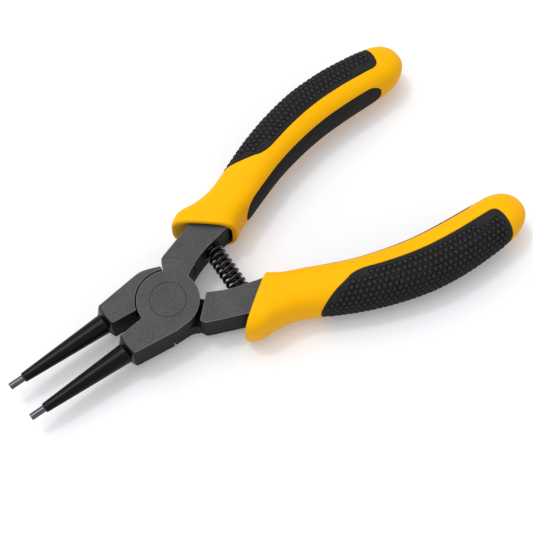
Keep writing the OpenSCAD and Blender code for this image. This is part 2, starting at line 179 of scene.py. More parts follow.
def make_piece(name: str, points: np.ndarray, quads: np.ndarray,
               unrolled: np.ndarray | None = None,
               relief: np.ndarray | None = None) -> bpy.types.Object:
    """Makes an object from a grid, with points that coincide merged into one.

    Args:
        name: Name of the piece.
        points: Grid points in millimetres, as rows of x, y and z.
        quads: Four corner numbers for each face.
        unrolled: Place of each point on the flat surface, in millimetres, kept as UV in metres.
        relief: Height of each point in its pattern, from 0 to 1, kept as a point attribute.
    Returns:
        The object, at the origin.
    """
    steps = np.round(points * MERGE_STEPS).astype(np.int64)
    _, first, inverse = np.unique(steps, axis=0, return_index=True, return_inverse=True)
    corners = inverse.reshape(-1)[quads]
    joined = corners == np.roll(corners, -1, axis=1)
    count = joined.sum(axis=1)
    three = corners[count == 1][~joined[count == 1]].reshape(-1, 3)
    mesh = bpy.data.meshes.new(name)
    mesh.from_pydata(points[first] * MM, [], corners[count == 0].tolist() + three.tolist())
    if unrolled is not None:
        corner_vertex = np.empty(len(mesh.loops), np.int32)
        mesh.loops.foreach_get("vertex_index", corner_vertex)
        layer = mesh.uv_layers.new(name="unrolled")
        flat = (unrolled[first] * MM)[corner_vertex]
        layer.data.foreach_set("uv", flat.astype(np.float32).ravel())
    if relief is not None:
        kept = mesh.attributes.new(RELIEF, "FLOAT", "POINT")
        kept.data.foreach_set("value", relief[first].astype(np.float32))
    mesh.shade_smooth()
    mesh.update()
    piece = bpy.data.objects.new(name, mesh)
    bpy.context.scene.collection.objects.link(piece)
    return piece


def round_over(distance: np.ndarray, radius: float) -> np.ndarray:
    """Depth of a quarter-round edge below the face, at a distance from the edge.

    Args:
        distance: Distance from the edge, along the face.
        radius: Radius of the edge.
    Returns:
        radius - sqrt(radius^2 - (radius - distance)^2), and zero past the radius.
    """
    short = radius - np.clip(distance, 0, radius)
    return radius - np.sqrt(radius ** 2 - short ** 2)


@dataclass(frozen=True)
class HandleSkin:
    """Surface of a handle: superellipse sections, which turn and swell along a bowed spine."""

    front: float = 24.2
    length: float = 98.4
    width: float = 18.8
    thickness: float = 20.0
    spread: float = 36.2
    mid_z: float = 6.7
    middle: float = 7.0
    rows: tuple[tuple[float, ...], ...] = (
        # along, off the centre line, half width, direction, half thickness, squareness
        (0.000, 0.448, 0.612, 142.5, 1.00, 3.2),
        (0.034, 0.507, 0.592, 136.0, 0.99, 3.1),
        (0.086, 0.533, 0.496, 133.0, 0.96, 2.9),
        (0.151, 0.580, 0.440, 126.0, 0.94, 2.7),
        (0.232, 0.677, 0.440, 117.0, 0.96, 2.5),
        (0.338, 0.801, 0.458, 112.0, 0.99, 2.5),
        (0.455, 0.903, 0.482, 108.0, 1.00, 2.5),
        (0.577, 0.974, 0.500, 101.5, 1.00, 2.5),
        (0.700, 1.003, 0.500, 95.5, 0.98, 2.5),
        (0.812, 1.004, 0.480, 91.0, 0.93, 2.5),
        (0.880, 1.000, 0.458, 90.0, 0.87, 2.5),
    )

    @property
    def last(self) -> int:
        """Number of the last section before the round end."""
        return len(self.rows) - 1

    def section(self, s: np.ndarray) -> tuple[np.ndarray, ...]:
        """Sections at s, by a smooth cubic through the rows, with a quarter ellipse for the end.

        Args:
            s: Section numbers, from 0 at the mouth to one past the last row at the end.
        Returns:
            x, y, half width, direction in radians, half thickness and squareness.
        """
        table = np.array(self.rows)
        i = np.clip(np.floor(s).astype(int), 0, self.last - 1)
        u = (np.minimum(s, self.last) - i)[..., None]
        a, b = table[np.maximum(i - 1, 0)], table[i]
        c, d = table[i + 1], table[np.minimum(i + 2, self.last)]
        r = 0.5 * (2 * b + (c - a) * u + (2 * a - 5 * b + 4 * c - d) * u ** 2
                   + (3 * b - a - 3 * c + d) * u ** 3)
        end = np.pi / 2 * np.maximum(s - self.last, 0)
        end_length = (1 - self.rows[-1][0]) * self.length
        return (self.front + r[..., 0] * self.length + end_length * np.sin(end),
                r[..., 1] * self.spread, r[..., 2] * self.width * np.cos(end),
                np.radians(r[..., 3]), r[..., 4] * self.thickness / 2 * np.cos(end), r[..., 5])

    def point(self, s: np.ndarray, angle: np.ndarray, lift: np.ndarray) -> np.ndarray:
        """Points of the skin, by the superellipse |across/w|^n + |up/t|^n = 1 of each section.

        Args:
            s: Section numbers.
            angle: Angles from the outer side over the top, in degrees.
            lift: Distances out of the skin.
        Returns:
            Points with x, y and z in the last axis.
        """
        x, y, half_w, turn, half_t, power = self.section(s)
        cosine, sine = np.cos(np.radians(angle)), np.sin(np.radians(angle))
        across = np.maximum(half_w + lift, 0) * np.sign(cosine) * np.abs(cosine) ** (2 / power)
        up = np.maximum(half_t + lift, 0) * np.sign(sine) * np.abs(sine) ** (2 / power)
        return np.stack([x + across * np.cos(turn), y + across * np.sin(turn), self.mid_z + up], -1)

    @cached_property
    def even_table(self) -> tuple[np.ndarray, np.ndarray]:
        """Angles over half a middle section, and the share of its girth that each has reached."""
        angle = np.linspace(0, 180, 1801)
        line = self.point(np.full_like(angle, self.middle), angle, 0.0)
        run = np.append(0, np.cumsum(np.linalg.norm(np.diff(line, axis=0), axis=1)))
        return angle, run / run[-1]

    def even_angle(self, share: np.ndarray) -> np.ndarray:
        """Angle at a share of the half girth from the outer side. It keeps the sign."""
        angle, run = self.even_table
        return np.sign(share) * np.interp(np.abs(share), run, angle)

    def even_share(self, angle: np.ndarray) -> np.ndarray:
        """Share of the half girth at an angle."""
        table_angle, run = self.even_table
        return np.interp(angle, table_angle, run)

    def half_girth(self, s: np.ndarray) -> np.ndarray:
        """Length of half the girth of each section, from the outer to the inner side.

        Args:
            s: Section numbers.
        Returns:
            The summed steps between close points on the skin.
        """
        angle = self.even_angle(np.linspace(0, 1, 121))
        line = self.point(s[:, None], angle[None, :], 0.0)
        return np.linalg.norm(np.diff(line, axis=1), axis=2).sum(axis=1)

    def run(self, s: np.ndarray) -> np.ndarray:
        """Distance along the outer ridge from the mouth to each section.

        Args:
            s: Section numbers.
        Returns:
            The summed steps between close points on the ridge.
        """
        steps = np.linspace(0, self.last + 1, 2201)
        line = self.point(steps, np.zeros_like(steps), 0.0)
        lengths = np.append(0, np.cumsum(np.linalg.norm(np.diff(line, axis=0), axis=1)))
        return np.interp(s, steps, lengths)


@dataclass(frozen=True)
class GripOutline:
    """Edge of a soft grip on the skin: a half angle that opens in a curve and closes behind.

    The outer grip ends almost square with round corners, the inner one ends round.
    """

    side: GripSide
    cover: float
    front: float
    full: float
    round_from: float
    end: float
    end_power: float
    blunt: float = 0.0
    narrow_front: float = 0.0
    open_power: float = 0.62
    swell_from: float = 3.0
    swell_over: float = 5.0

    def half_angle(self, skin: HandleSkin, s: np.ndarray) -> np.ndarray:
        """Half angle cover * (1 - u^2)^open * (1 - w^2)^end, not below its blunt share at the end.

        Args:
            skin: Surface that the grip lies on.
            s: Section numbers.
        Returns:
            Half angles, where u falls over the front and w grows along the handle over the back.
        """
        u = 1 - np.clip((s - self.front) / (self.full - self.front), 0, 1)
        start, stop = skin.section(np.array([self.round_from, self.end]))[0]
        w = np.clip((skin.section(s)[0] - start) / (stop - start), 0, 1)
        swelled = np.clip((s - self.swell_from) / self.swell_over, 0, 1)
        swell = 1 - self.narrow_front * (1 - swelled)
        closed = np.maximum((1 - w ** 2) ** self.end_power, self.blunt)
        return self.cover * swell * (1 - u ** 2) ** self.open_power * closed

    def half_width(self, skin: HandleSkin, s: np.ndarray) -> np.ndarray:
        """Half width of the grip along the skin.

        Args:
            skin: Surface that the grip lies on.
            s: Section numbers.
        Returns:
            The share of the half girth that the half angle covers, times that girth.
        """
        angle = self.half_angle(skin, s)
        share = skin.even_share(angle)
        if self.side is GripSide.INNER:
            share = 1 - skin.even_share(180 - angle)
        return skin.half_girth(s) * share

    def rows(self, skin: HandleSkin, even: int, ends: int) -> np.ndarray:
        """Section numbers over the grip, close together where the edge turns.

        Args:
            skin: Surface that the grip lies on.
            even: Number of evenly spaced rows.
            ends: Number of further rows at each end.
        Returns:
            Sorted section numbers from front to end.
        """
        part = np.linspace(0, 1, ends)
        opening = self.front + (self.full - self.front) * (
            1 - np.sqrt(1 - part ** (1 / self.open_power)))
        table = np.linspace(self.round_from, self.end, 400)
        x = skin.section(table)[0]
        reach = np.sqrt(1 - np.maximum(part, self.blunt) ** (1 / self.end_power))
        closing = np.interp(x[0] + (x[-1] - x[0]) * reach, x, table)
        evenly = np.linspace(self.front, self.end, even)
        return np.unique(np.concatenate([opening, evenly, closing]))

    def inside(self, skin: HandleSkin, s: np.ndarray, off: np.ndarray) -> np.ndarray:
        """Distance from the grip's edge on the unrolled skin, positive inside.

        The distance to a slanted edge is a * b / sqrt(a^2 + b^2), from the distances a across
        and b along the handle.

        Args:
            skin: Surface that the grip lies on.
            s: Section number of each row.
            off: Distance of each point from the grip's centre line, one row for each section.
        Returns:
            Distances in the shape of off.
        """
        front = self.rows(skin, 2, 200)
        width, along = self.half_width(skin, front), skin.run(front)
        widest = int(np.argmax(width))
        from_front = np.interp(np.abs(off), np.maximum.accumulate(width[:widest + 1]),
                               along[:widest + 1], right=FAR)
        to_end = np.interp(np.abs(off), np.maximum.accumulate(width[:widest - 1:-1]),
                           along[:widest - 1:-1], right=-FAR)
        here = skin.run(s)[:, None]
        along_gap = np.minimum(here - from_front, to_end - here)
        crossed = ((s > self.front) & (s < self.end))[:, None]
        across_gap = np.where(crossed, self.half_width(skin, s)[:, None] - np.abs(off), -FAR)
        size = np.abs(along_gap * across_gap) / np.hypot(along_gap, across_gap).clip(1e-9)
        return np.where((along_gap > 0) & (across_gap > 0), size, -size)


OUTER_EDGE = GripOutline(GripSide.OUTER, 100, 3.79, 5.3, 9.5, 10.065, 0.08, blunt=0.62)
INNER_EDGE = GripOutline(GripSide.INNER, 35, 2.26, 3.45, 8.8, 9.55, 0.5, narrow_front=0.05,
                         open_power=0.75)


@dataclass(frozen=True)
class PhosphatedSteel:
    """Drop-forged steel, black phosphated: flat faces blasted to a speckled grey, sides near black
    in painted shade.

    The turned noses are oxide black and oiled, so they are darkest and show a strip of the light.
    """

    face: str = "#5a5a5b"
    face_dark: str = "#424244"
    # painted shade: the sides are coloured darker than the faces, as if turned from the lamps
    side: str = "#101011"
    nose: str = "#09090a"
    speckle: float = 0.34
    patch: float = 9.0
    patch_share: float = 0.25
    # painted shade: a darker ring along the step where the ground joint faces end
    ground_step_shade_line: float = 15.2
    shade_line_width: float = 0.4
    shade_line_share: float = 0.6
    nose_turn: float = 2.7
    nose_from: float = -20.1
    mid_z: float = 6.7
    face_from: float = 6.62

    def material(self) -> bpy.types.Material:
        """Builds the faces, with speckle, slow patches and a painted shade line at the end of the
        ground joint faces, the sides in painted shade, and the noses.

        Returns:
            The material.
        """
        material, tree = new_material("forged steel, black phosphated")
        place = add(tree, "ShaderNodeTexCoord").outputs["Object"]
        speckle = add(tree, "ShaderNodeTexNoise", {
            "Vector": place, "Scale": grain(self.speckle), "Detail": 3.0, "Roughness": 0.65})
        patch = add(tree, "ShaderNodeTexNoise", {
            "Vector": place, "Scale": grain(self.patch), "Detail": 2.0})
        mottle = add(tree, "ShaderNodeMath", {
            0: patch.outputs["Fac"], 1: self.patch_share, 2: speckle.outputs["Fac"]},
            operation="MULTIPLY_ADD")
        spread = add(tree, "ShaderNodeMapRange", {
            "Value": mottle.outputs[0], "From Min": 0.46, "From Max": 0.79})
        face = add(tree, "ShaderNodeMix", {
            "Factor": spread.outputs[0], 6: linear(self.face_dark), 7: linear(self.face)},
            data_type="RGBA")
        turned = add(tree, "ShaderNodeMapping", {
            "Vector": place, "Rotation": (0, 0, -math.radians(self.nose_turn))})
        split = add(tree, "ShaderNodeSeparateXYZ", {"Vector": turned.outputs[0]})
        radius = add(tree, "ShaderNodeVectorMath", {0: place, 1: (1.0, 1.0, 0.0)},
                     operation="MULTIPLY")
        radius = add(tree, "ShaderNodeVectorMath", {0: radius.outputs[0]}, operation="LENGTH")
        # Painted shade line along the step where the ground joint faces end, on the arms only.
        on_shade_line = add(tree, "ShaderNodeMath", {
            0: radius.outputs["Value"], 1: self.ground_step_shade_line * MM, 2: self.shade_line_width / 2 * MM},
            operation="COMPARE")
        is_arm = add(tree, "ShaderNodeMath", {0: split.outputs["X"], 1: 0.0},
                     operation="GREATER_THAN")
        line = add(tree, "ShaderNodeMath", {0: on_shade_line.outputs[0], 1: is_arm.outputs[0]},
                   operation="MULTIPLY")
        line = add(tree, "ShaderNodeMath", {0: line.outputs[0], 1: self.shade_line_share},
                   operation="MULTIPLY")
        face = add(tree, "ShaderNodeMix", {
            "Factor": line.outputs[0], 6: face.outputs[2], 7: linear(self.face_dark)},
            data_type="RGBA")
        # Painted shade: below the flat faces, the side walls take the dark side colour.
        level = add(tree, "ShaderNodeMath", {0: split.outputs["Z"], 1: self.mid_z * MM},
                    operation="SUBTRACT")
        height = add(tree, "ShaderNodeMath", {0: level.outputs[0]}, operation="ABSOLUTE")
        is_face = add(tree, "ShaderNodeMath", {0: height.outputs[0], 1: self.face_from * MM},
                      operation="GREATER_THAN")
        coat = add(tree, "ShaderNodeMix", {
            "Factor": is_face.outputs[0], 6: linear(self.side), 7: face.outputs[2]},
            data_type="RGBA")
        is_nose = add(tree, "ShaderNodeMath", {0: split.outputs["X"], 1: self.nose_from * MM},
                      operation="LESS_THAN")
        colour = add(tree, "ShaderNodeMix", {
            "Factor": is_nose.outputs[0], 6: coat.outputs[2], 7: linear(self.nose)},
            data_type="RGBA")
        rough = add(tree, "ShaderNodeMapRange", {
            "Value": is_nose.outputs[0], "To Min": 0.58, "To Max": 0.24})
        bump = add(tree, "ShaderNodeBump", {
            "Height": speckle.outputs["Fac"], "Strength": 0.22, "Distance": 0.05 * MM})
        shader = add(tree, "ShaderNodeBsdfPrincipled", {
            "Base Color": colour.outputs[2], "Roughness": rough.outputs[0], "IOR": 1.6,
            "Specular IOR Level": 0.08, "Normal": bump.outputs[0]})
        add(tree, "ShaderNodeOutputMaterial", {"Surface": shader.outputs[0]})
        return material


@dataclass(frozen=True)
class WornEdgeWithPaintedHighlight:
    """The same coat on the broken edges, lighter round the flat faces: worn by handling, and a
    painted highlight.
    """

    # lighter edge colour: wear from handling, and a painted highlight along the edges
    colour: str = "#666668"
    # painted shade on the side edges, and the black of the block's front
    dark: str = "#0d0d0e"
    rub: float = 1.2
    mid_z: float = 6.7
    face_from: float = 6.3
    block_turn: float = 2.7
    block_from: float = -19.3

    def material(self) -> bpy.types.Material:
        """Builds the worn coat with its painted highlight, uneven along the edges, and black away
        from the flat faces, which is painted shade on the sides.

        Returns:
            The material.
        """
        material, tree = new_material("forged steel, rubbed edge")
        place = add(tree, "ShaderNodeTexCoord").outputs["Object"]
        turned = add(tree, "ShaderNodeMapping", {
            "Vector": place, "Rotation": (0, 0, -math.radians(self.block_turn))})
        split = add(tree, "ShaderNodeSeparateXYZ", {"Vector": turned.outputs[0]})
        level = add(tree, "ShaderNodeMath", {0: split.outputs["Z"], 1: self.mid_z * MM},
                    operation="SUBTRACT")
        height = add(tree, "ShaderNodeMath", {0: level.outputs[0]}, operation="ABSOLUTE")
        # Painted highlight and wear on the edges at the flat faces behind the block's front;
        # painted shade on the other edges.
        at_face = add(tree, "ShaderNodeMath", {0: height.outputs[0], 1: self.face_from * MM},
                      operation="GREATER_THAN")
        behind = add(tree, "ShaderNodeMath", {0: split.outputs["X"], 1: self.block_from * MM},
                     operation="GREATER_THAN")
        rubbed_and_highlit = add(tree, "ShaderNodeMath", {0: at_face.outputs[0], 1: behind.outputs[0]},
                     operation="MULTIPLY")
        colour = add(tree, "ShaderNodeMix", {
            "Factor": rubbed_and_highlit.outputs[0], 6: linear(self.dark), 7: linear(self.colour)},
            data_type="RGBA")
        rub = add(tree, "ShaderNodeTexNoise", {
            "Vector": place, "Scale": grain(self.rub), "Detail": 3.0})
        rough = add(tree, "ShaderNodeMapRange", {
            "Value": rub.outputs["Fac"], "To Min": 0.34, "To Max": 0.5})
        shader = add(tree, "ShaderNodeBsdfPrincipled", {
            "Base Color": colour.outputs[2], "Roughness": rough.outputs[0], "IOR": 1.6,
            "Specular IOR Level": 0.15})
        add(tree, "ShaderNodeOutputMaterial", {"Surface": shader.outputs[0]})
        return material


@dataclass(frozen=True)
class GroundPin:
    """Hardened steel pin, ground bright: it mirrors the room, softened by fine rings round it."""

    colour: str = "#525356"
    ring: float = 0.25
    ring_share: float = 0.08
    turn: float = 2.7

    def material(self) -> bpy.types.Material:
        """Builds bright steel with grinding rings, drawn coarser than real ones so that they show.

        Returns:
            The material.
        """
        material, tree = new_material("hardened steel, ground bright")
        place = add(tree, "ShaderNodeTexCoord").outputs["Object"]
        turned = add(tree, "ShaderNodeMapping", {
            "Vector": place, "Rotation": (0, 0, -math.radians(self.turn)),
            "Scale": (1.0, self.ring_share, self.ring_share)})
        rings = add(tree, "ShaderNodeTexNoise", {
            "Vector": turned.outputs[0], "Scale": grain(self.ring), "Detail": 2.0})
        rough = add(tree, "ShaderNodeMapRange", {
            "Value": rings.outputs["Fac"], "To Min": 0.14, "To Max": 0.34})
        bump = add(tree, "ShaderNodeBump", {
            "Height": rings.outputs["Fac"], "Strength": 0.12, "Distance": 0.02 * MM})
        shader = add(tree, "ShaderNodeBsdfPrincipled", {
            "Base Color": linear(self.colour), "Metallic": 1.0, "Roughness": rough.outputs[0],
            "Normal": bump.outputs[0]})
        add(tree, "ShaderNodeOutputMaterial", {"Surface": shader.outputs[0]})
        return material


@dataclass(frozen=True)
class SpringWire:
    """Drawn spring wire, oil blackened: near black and smooth, with sharp lights on the coils."""

    colour: str = "#060607"
    draw_line: float = 0.4

    def material(self) -> bpy.types.Material:
        """Builds black wire with a slight unevenness of the oil film.

        Returns:
            The material.
        """
        material, tree = new_material("spring wire, oil blackened")
        place = add(tree, "ShaderNodeTexCoord").outputs["Object"]
        film = add(tree, "ShaderNodeTexNoise", {
            "Vector": place, "Scale": grain(self.draw_line), "Detail": 2.0})
        rough = add(tree, "ShaderNodeMapRange", {
            "Value": film.outputs["Fac"], "To Min": 0.1, "To Max": 0.2})
        shader = add(tree, "ShaderNodeBsdfPrincipled", {
            "Base Color": linear(self.colour), "Roughness": rough.outputs[0], "IOR": 1.6,
            "Specular IOR Level": 0.3})
        add(tree, "ShaderNodeOutputMaterial", {"Surface": shader.outputs[0]})
        return material


@dataclass(frozen=True)
class MouldedYellow:
    """Polypropylene, injection moulded in an eroded mould: even warm yellow with a satin gloss."""

    colour: str = "#ffbb0a"
    colour_deep: str = "#feb608"
    texture: float = 0.3
    flow: float = 14.0

    def material(self) -> bpy.types.Material:
        """Builds the plastic. The mould's texture is drawn about twice as coarse, so that it shows.

        Returns:
            The material.
        """
        material, tree = new_material("polypropylene, moulded satin yellow")
        place = add(tree, "ShaderNodeTexCoord").outputs["Object"]
        texture = add(tree, "ShaderNodeTexNoise", {
            "Vector": place, "Scale": grain(self.texture), "Detail": 2.0})
        flow = add(tree, "ShaderNodeTexNoise", {
            "Vector": place, "Scale": grain(self.flow), "Detail": 1.0})
        colour = add(tree, "ShaderNodeMix", {
            "Factor": flow.outputs["Fac"], 6: linear(self.colour_deep), 7: linear(self.colour)},
            data_type="RGBA")
        rough = add(tree, "ShaderNodeMapRange", {
            "Value": texture.outputs["Fac"], "To Min": 0.42, "To Max": 0.56})
        bump = add(tree, "ShaderNodeBump", {
            "Height": texture.outputs["Fac"], "Strength": 0.06, "Distance": 0.03 * MM})
        shader = add(tree, "ShaderNodeBsdfPrincipled", {
            "Base Color": colour.outputs[2], "Roughness": rough.outputs[0], "IOR": 1.49,
            "Specular IOR Level": 0.06, "Normal": bump.outputs[0]})
        add(tree, "ShaderNodeOutputMaterial", {"Surface": shader.outputs[0]})
        return material


@dataclass(frozen=True)
class SoftGrip:
    """Thermoplastic rubber, moulded matt: charcoal black with a dull sheen and fine flow lines."""

    colour: str = "#262627"
    worn: str = "#2f2f30"
    # painted shade in the troughs round the studs
    trough: str = "#010101"
    # stud tops: worn lighter, and a painted sheen
    top: str = "#323233"
    texture: float = 0.25
    line: float = 0.7
    line_length: float = 24.0

    def material(self) -> bpy.types.Material:
        """Builds the rubber. The flow lines follow the unrolled surface along the handle, the
        troughs round the studs are near black as painted shade, and the studs' tops are lighter,
        worn and with a painted sheen.

        Returns:
            The material.
        """
        material, tree = new_material("thermoplastic rubber, moulded matt black")
        coords = add(tree, "ShaderNodeTexCoord")
        texture = add(tree, "ShaderNodeTexNoise", {
            "Vector": coords.outputs["Object"], "Scale": grain(self.texture), "Detail": 2.0})
        stretched = add(tree, "ShaderNodeMapping", {
            "Vector": coords.outputs["UV"], "Scale": (self.line / self.line_length, 1.0, 1.0)})
        lines = add(tree, "ShaderNodeTexNoise", {
            "Vector": stretched.outputs[0], "Scale": grain(self.line), "Detail": 2.0})
        spread = add(tree, "ShaderNodeMapRange", {
            "Value": lines.outputs["Fac"], "From Min": 0.3, "From Max": 0.75})
        colour = add(tree, "ShaderNodeMix", {
            "Factor": spread.outputs[0], 6: linear(self.colour), 7: linear(self.worn)},
            data_type="RGBA")
        relief = add(tree, "ShaderNodeAttribute", attribute_name=RELIEF).outputs["Fac"]
        # Painted shade: the troughs round the studs go near black.
        clear_of_painted_shade = add(tree, "ShaderNodeMapRange", {
            "Value": relief, "From Min": 0.15, "From Max": 0.46})
        colour = add(tree, "ShaderNodeMix", {
            "Factor": clear_of_painted_shade.outputs[0], 6: linear(self.trough), 7: colour.outputs[2]},
            data_type="RGBA")
        # Stud tops lighter: wear, and a painted sheen.
        rubbed_and_highlit = add(tree, "ShaderNodeMapRange", {"Value": relief, "From Min": 0.6})
        colour = add(tree, "ShaderNodeMix", {
            "Factor": rubbed_and_highlit.outputs[0], 6: colour.outputs[2], 7: linear(self.top)},
            data_type="RGBA")
        rough = add(tree, "ShaderNodeMapRange", {
            "Value": texture.outputs["Fac"], "To Min": 0.75, "To Max": 0.9})
        bump = add(tree, "ShaderNodeBump", {
            "Height": texture.outputs["Fac"], "Strength": 0.12, "Distance": 0.04 * MM})
        shader = add(tree, "ShaderNodeBsdfPrincipled", {
            "Base Color": colour.outputs[2], "Roughness": rough.outputs[0], "IOR": 1.5,
            "Specular IOR Level": 0.08, "Normal": bump.outputs[0]})
        add(tree, "ShaderNodeOutputMaterial", {"Surface": shader.outputs[0]})
        return material


@dataclass
class Sleeve:
    """Hard yellow sleeve of one handle, with a dished flared mouth and pockets for the grips."""

    half: Half
    skin: HandleSkin
    finish: bpy.types.Material
    rim_round: float = 1.3
    rim_round_s: float = 0.34
    dish: float = 1.6
    dish_power: float = 1.6
    hole_centre: float = -1.68
    hole_half_w: float = 7.25
    hole_half_t: float = 7.25
    hole_squareness: float = 14.0
    hole_depth: float = 2.5
    arm_turn: float = 17.0
    seam_round: float = 0.3
    seam_gap: float = 0.06
    pocket: float = 1.4
    rim_rows: int = 9
    along_rows: int = 120
    outer_rows: int = 26
    inner_rows: int = 22
    cap_rows: int = 26
    pocket_columns: int = 5
    band_columns: int = 40
    sharp_angle: float = 50.0

    def rows(self) -> tuple[np.ndarray, np.ndarray]:
        """Rings of the sleeve from the mouth's face to the end, close together at the seams.

        Returns:
            Section number and inward step of each ring, which is a quarter round at the rim.
        """
        t = np.linspace(0, np.pi / 2, self.rim_rows)
        ends = np.array([0.16, 0.08, 0.04, 0.02, 0.01, 0.004, 0])
        near = [edge.front - ends for edge in (OUTER_EDGE, INNER_EDGE)]
        near += [edge.end + ends for edge in (OUTER_EDGE, INNER_EDGE)]
        along = np.unique(np.concatenate([
            np.linspace(self.rim_round_s, self.skin.last, self.along_rows),
            OUTER_EDGE.rows(self.skin, 2, self.outer_rows),
            INNER_EDGE.rows(self.skin, 2, self.inner_rows), *near]))[1:]
        cap = self.skin.last + np.linspace(0, 1, self.cap_rows)[1:]
        along = np.unique(np.concatenate([along, cap]))
        s = np.concatenate([self.rim_round_s * (1 - np.cos(t)), along])
        return s, np.concatenate([self.rim_round * (1 - np.sin(t)), 0 * along])

    def half_ring(self, s: np.ndarray) -> tuple[np.ndarray, np.ndarray]:
        """Columns of half a ring: outer pocket, yellow band with close columns at its edges, inner
        pocket.

        Args:
            s: Section number of each ring.
        Returns:
            Share of the half girth from the outer ridge and lift out of the skin, by ring.
        """
        girth = self.skin.half_girth(s)[:, None]
        there, widths = [], []
        for edge in (OUTER_EDGE, INNER_EDGE):
            there.append(((s > edge.front) & (s < edge.end))[:, None])
            width = edge.half_width(self.skin, s)[:, None]
            widths.append(width + self.seam_gap * (width > 0))
        outer, inner = widths
        close = np.array([*EDGE_STEPS, 0.45, 0.8])[None, :]
        low, high = outer + close, girth - inner - close[:, ::-1]
        band = np.linspace(0, 1, self.band_columns)[None, 1:-1]
        middle = low[:, -1:] + (high[:, :1] - low[:, -1:]) * band
        share = np.linspace(0, 1, self.pocket_columns)[None, :]
        run = np.concatenate(
            [outer * share, low, middle, high, girth - inner * (1 - share)], axis=1)
        past_outer = -OUTER_EDGE.inside(self.skin, s, run) - self.seam_gap
        past_inner = -INNER_EDGE.inside(self.skin, s, girth - run) - self.seam_gap
        lift = -np.maximum(round_over(past_outer, self.seam_round),
                           round_over(past_inner, self.seam_round))
        ends = slice(None, self.pocket_columns), slice(-self.pocket_columns, None)
        for crossed, part in zip(there, ends):
            lift[:, part] = np.where(crossed, -self.pocket, lift[:, part])
        return run / girth, lift

    def mouth(self, angle: np.ndarray, rim: np.ndarray) -> np.ndarray:
        """Rings of the hole for the arm and of the dished face round it.

        The hole is a superellipse, square enough to pass for the arm's section with round corners,
        and its walls follow the arm. The face sinks by dish * share^power from the rim to the hole.

        Args:
            angle: Angles of the mouth's ring, in degrees.
            rim: Points of the ring where the rim's round begins.
        Returns:
            The hole's floor drawn to a point, its floor, and the face from the hole outwards.
        """
        x, y, _, turn, _, _ = self.skin.section(np.zeros(1))
        cosine, sine = np.cos(np.radians(angle)), np.sin(np.radians(angle))
        power = 2 / self.hole_squareness
        across = self.hole_centre + self.hole_half_w * np.sign(cosine) * np.abs(cosine) ** power
        up = self.hole_half_t * np.sign(sine) * np.abs(sine) ** power
        edge = np.stack([x + across * np.cos(turn), y + across * np.sin(turn),
                         self.skin.mid_z + up], -1)
        turned = math.radians(self.arm_turn)
        inward = np.array([math.cos(turned), math.sin(turned), 0.0])
        share = np.array([1, 0.85, 0.7, 0.55, 0.4, 0.25, 0.12])[:, None, None]
        face = rim + (edge - rim) * share + self.dish * share ** self.dish_power * inward
        floor = face[0] + self.hole_depth * inward
        point = np.broadcast_to(floor.mean(axis=0), floor.shape)
        return np.concatenate([point[None], floor[None], face])

    def build(self) -> bpy.types.Object:
        """Makes the sleeve as rings: out of the hole, over the rim and along the skin to the end.

        Returns:
            The sleeve, without its finish.
        """
        s, inset = self.rows()
        share, lift = self.half_ring(s)
        angle = self.skin.even_angle(share)
        angle = np.concatenate([angle, -angle[:, -2:0:-1]], axis=1)
        lift = np.concatenate([lift, lift[:, -2:0:-1]], axis=1)
        points = self.skin.point(s[:, None], angle, lift - inset[:, None])
        points = np.concatenate([self.mouth(angle[0], points[0]), points])
        points[..., 1] *= self.half.side
        quads = grid_quads(len(points), angle.shape[1], turned=self.half is Half.BOTTOM)
        piece = make_piece(f"{self.half.value}_sleeve_moulding", points.reshape(-1, 3), quads)
        piece.data.set_sharp_from_angle(angle=math.radians(self.sharp_angle))
        return piece

    def dress(self, piece: bpy.types.Object) -> None:
        """Gives the sleeve its finish and sets it in place of the CAD sleeve.

        Args:
            piece: The sleeve's object.
        """
        piece.data.materials.append(self.finish)
        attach(piece, self.half.body)
        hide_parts(f"{self.half.value}_sleeve")


